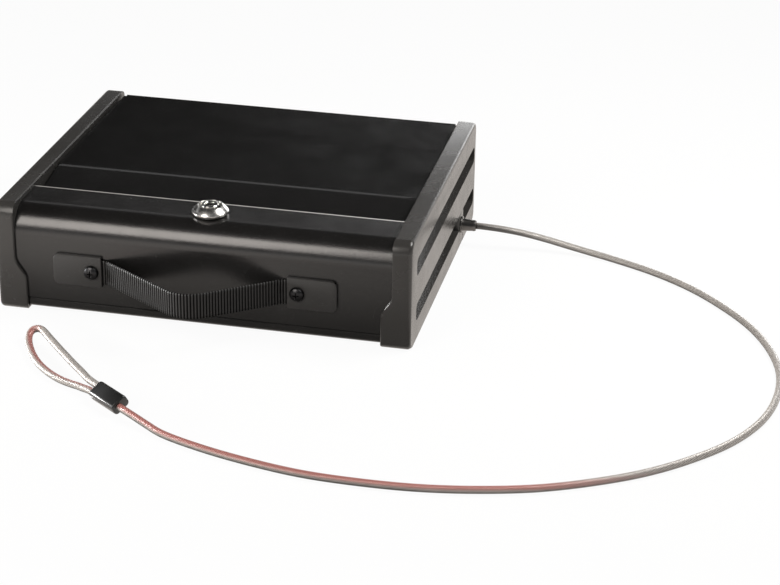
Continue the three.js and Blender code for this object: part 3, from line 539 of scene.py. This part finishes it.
def ribbed_strap(node, material):
    """The bowed webbing with its cross ribs, thinned towards its edges."""
    path = rounded([(HANDLE_X - 98.15, STRAP_Y, 0), (HANDLE_X - 74.3, STRAP_Y, 6), (HANDLE_X + 5.45, -50.1, 27),
                    (HANDLE_X + 74.3, STRAP_Y, 6), (HANDLE_X + 98.15, STRAP_Y, 0)], PATH_STEP)
    reach = reaches(path)
    rows = round(reach[-1] / RIB) * RIB_ROWS
    levels = [-HALF_WIDTH + 2 * HALF_WIDTH * k / WIDTH_STEPS for k in range(WIDTH_STEPS + 1)]
    section = [(z, 1) for z in levels] + [(z, -1) for z in reversed(levels)]
    verts, crown = [], []
    for k, (i, here) in enumerate(even_steps(path, reach, rows)):
        along = (path[min(i + 2, len(path) - 1)] - path[max(i - 1, 0)]).normalized()
        across = Vector((-along.y, along.x))
        rib = abs(math.sin(math.pi * (k % RIB_ROWS) / RIB_ROWS)) ** 0.8
        for z, s in section:
            edge = min(1, (HALF_WIDTH - abs(z)) / SOFT_EDGE)
            thick = (HALF_THICK - RIB_DEPTH * (1 - rib) * (0.35 + 0.65 * edge)) * (0.55 + 0.45 * edge)
            spot = here + across * (s * thick)
            verts.append(at(spot.x, spot.y, HANDLE_Z + z))
            crown.append(rib)
    mesh = bpy.data.meshes.new("strap_webbing")
    mesh.from_pydata(verts, [], tube_faces(rows + 1, len(section), turned=True))
    point_values(mesh, crown=crown)
    piece("strap_webbing", mesh, "base", node, material)


# The sheen is in the coat, on the ribs' crests alone
web = Shader("webbing", (0.012, 0.012, 0.012), 0.5, Specular_IOR_Level=0.15, Coat_Weight=1.0, Coat_Roughness=0.56,
             Coat_IOR=1.62)
waves = {"Vector": web.place, "Scale": 200.0, "Distortion": 1.5, "Detail": 2.0}
yarn = web.node("ShaderNodeTexWave", waves, bands_direction="Z").outputs["Fac"]
crests = web.ramp(web.attribute("crown"), 0.55, 0.95)
# Painted shade: the webbing is coloured near-black in the grooves between the ribs, lighter on the crests
web.colour(web.mix(crests, grey(0.001), web.mix(web.noise(700, 3), grey(0.005), (0.018, 0.018, 0.0175, 1))))
web.rough(web.mix(crests, grey(0.9), web.mix(yarn, grey(0.32), grey(0.46))), 0.0, 1.0)
web.bump((yarn, 0.35, 0.0002), (web.noise(1500, 2), 0.3, 0.0001))
web.link(crests, web.sockets["Coat Weight"])
ribbed_strap("handle_strap", web.material)


# Foam liners

FOAM_EDGE = 0.0011
FOAM_EDGE_ANGLE = 0.6
FOAM_GRID = 0.014
FOAM_UNEVEN = 0.00012
X_AXIS, Z_AXIS = 0, 2

sponge = Shader("foam", (0.022, 0.022, 0.023), 0.9, Sheen_Weight=0.2)
pores = sponge.cells(900)
# Painted shade: the pores' pits are coloured darker than the cell walls
sponge.colour(sponge.mix(pores, grey(0.008), (0.04, 0.04, 0.042, 1)))
sponge.rough(sponge.noise(30, 3), 0.82, 0.98)
sponge.bump((pores, 0.8, 0.0006), (sponge.noise(60, 3), 0.3, 0.001))


def pad(node, body, axis, outward, crown):
    """A foam sheet cut to the node's outline, with soft edges and a slight crown on the face that looks outward."""
    form = bmesh.new()
    form.from_mesh(nodes[node].data)
    bmesh.ops.remove_doubles(form, verts=form.verts, dist=WELD_GAP)
    bmesh.ops.dissolve_limit(form, angle_limit=0.02, verts=form.verts, edges=form.edges)
    sharp = [e for e in form.edges if len(e.link_faces) == 2 and e.calc_face_angle(0) > FOAM_EDGE_ANGLE]
    bmesh.ops.bevel(form, geom=sharp, offset=FOAM_EDGE, segments=3, profile=0.5, affect="EDGES")
    low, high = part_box(node)
    flat_axes = [n for n in range(3) if n != axis]
    for flat in flat_axes:
        cuts = max(2, round((high[flat] - low[flat]) / FOAM_GRID))
        normal = Vector([float(flat == n) for n in range(3)])
        for k in range(1, cuts):
            everything = form.verts[:] + form.edges[:] + form.faces[:]
            bmesh.ops.bisect_plane(form, geom=everything, plane_co=low.lerp(high, k / cuts), plane_no=normal)
    seeded = random.Random(node)
    wall = (high if outward > 0 else low)[axis]
    for vert in form.verts:
        share = 1.0
        for flat in flat_axes:
            span = (vert.co[flat] - low[flat]) / (high[flat] - low[flat]) * 2 - 1
            share *= 1 - span ** 6
        if abs(vert.co[axis] - wall) < 0.0001:
            vert.co[axis] += -outward * crown * (1 - share) + outward * FOAM_UNEVEN * seeded.uniform(-1, 0.4)
    bmesh.ops.recalc_face_normals(form, faces=form.faces)
    mesh = bpy.data.meshes.new("pad_" + node)
    form.to_mesh(mesh)
    form.free()
    piece("pad_" + node, mesh, body, node, sponge.material)


pad("foam_floor", "base", Z_AXIS, 1, 0.0007)
pad("foam_left", "base", X_AXIS, 1, 0.0005)
pad("foam_right", "base", X_AXIS, -1, 0.0005)
pad("lid_foam_front", "lid", Z_AXIS, -1, 0.0006)
pad("lid_foam_rear", "lid", Z_AXIS, -1, 0.0006)


# Floor

FLOOR_HALF = 6
WHITE_SHARE = 0.94  # share of plain white in what the camera sees of the floor; the rest takes the shadow

floor_mesh = bpy.data.meshes.new("floor")
quarters = ((-1, -1), (1, -1), (1, 1), (-1, 1))
floor_mesh.from_pydata([(FLOOR_HALF * a, FLOOR_HALF * b, 0) for a, b in quarters], [], [(0, 1, 2, 3)])
floor = bpy.data.objects.new("floor", floor_mesh)
scene.collection.objects.link(floor)

paper = bpy.data.materials.new("floor")
paper.use_nodes = True
paper.node_tree.nodes.clear()
floor_mesh.materials.append(paper)
look = Nodes(paper.node_tree)
rays = look.node("ShaderNodeLightPath").outputs
matte = look.node("ShaderNodeBsdfDiffuse", {"Color": grey(0.84)}).outputs[0]

# In reflections the paper is brightest away from the safe; the strip that the front face mirrors lies in its shade
x, y, z = look.axes("Object")
ahead = look.step(y, FRONT - 0.16, FRONT - 0.005, 1.0, 0.2)
fall = look.step(x, -0.22, 0.3, 1.1, 0.38)
aside = look.step(look.maths("ABSOLUTE", x), 0.17, 0.26)
behind = look.step(y, FRONT - 0.004, FRONT + 0.002)
shade = look.maths("MAXIMUM", look.maths("MAXIMUM", look.maths("MULTIPLY", ahead, fall), aside), behind)
mirrored = look.node("ShaderNodeEmission", {"Color": (1, 0.93, 0.87, 1), "Strength": shade}).outputs[0]
white = look.node("ShaderNodeEmission").outputs[0]
direct = look.blend(rays["Is Camera Ray"], matte, look.blend(WHITE_SHARE, matte, white))
in_mirrors = look.maths("MAXIMUM", rays["Is Glossy Ray"], rays["Is Transmission Ray"])
look.node("ShaderNodeOutputMaterial", {"Surface": look.blend(in_mirrors, direct, mirrored)})


# A white backdrop for the camera, a dim room in reflections, darkest above and behind

ROOM_FILL = 0.2

world = bpy.data.worlds.new("studio")
scene.world = world
world.use_nodes = True
studio = Nodes(world.node_tree)
back = studio.tree.nodes["Background"].inputs
back["Color"].default_value = grey(1)
rays = studio.node("ShaderNodeLightPath").outputs
x, y, z = studio.axes("Generated")
low_sky = studio.maths("MULTIPLY", studio.step(z, 0.04, 0.12, 1.0, 0.0), studio.step(x, -0.34, -0.10, 0.3, 1.0))
behind_right = studio.maths("MULTIPLY", studio.step(x, -0.30, -0.10, 0.05, 1.0), studio.step(y, 0.86, 0.95))
haze = studio.maths("MULTIPLY", studio.step(z, 0.14, 0.33, 5.0, 0.0), behind_right)
band = studio.maths("MULTIPLY", studio.step(z, 0.48, 0.52), studio.step(z, 0.54, 0.60, 0.8, 0.0))
band = studio.maths("MULTIPLY", band, studio.step(y, -0.1, 0.1))
front_room = studio.maths("MULTIPLY", studio.step(y, -0.2, -0.6), 0.15)
room = studio.maths("ADD", studio.maths("ADD", studio.maths("MAXIMUM", low_sky, haze), band), front_room)
lit = studio.maths("MULTIPLY", rays["Is Diffuse Ray"], ROOM_FILL)
lit = studio.maths("ADD", lit, studio.maths("MULTIPLY", rays["Is Glossy Ray"], room))
lit = studio.maths("ADD", lit, studio.maths("MAXIMUM", rays["Is Camera Ray"], rays["Is Transmission Ray"]))
studio.link(lit, back["Strength"])


# Lamps: name, place, what it points at, size in metres, radiance, colour

LAMPS = (
    ("key", (-0.66, -1.5, 1.2), (0, -0.12, 0.06), (0.95, 1.1), 5.6, (1, 0.94, 0.88)),
    ("left", (-1.0, -0.24, 0.15), (0, -0.15, 0.03), (0.4, 0.2), 54.0, (1, 0.99, 0.98)),
    ("right", (0.62, 0.12, 0.75), (0.17, 0.05, 0.05), (0.4, 0.4), 14.0, (1, 0.98, 0.95)),
)
for name, place, target, size, radiance, colour in LAMPS:
    light = bpy.data.lights.new(name, "AREA")
    light.shape = "RECTANGLE"
    light.size, light.size_y = size
    light.energy = radiance * math.pi * size[0] * size[1]
    light.color = colour
    softbox = bpy.data.objects.new(name, light)
    softbox.location = place
    softbox.rotation_euler = (Vector(target) - Vector(place)).to_track_quat("-Z", "Y").to_euler()
    softbox.visible_camera = False
    scene.collection.objects.link(softbox)

scene.view_settings.view_transform = "Standard"
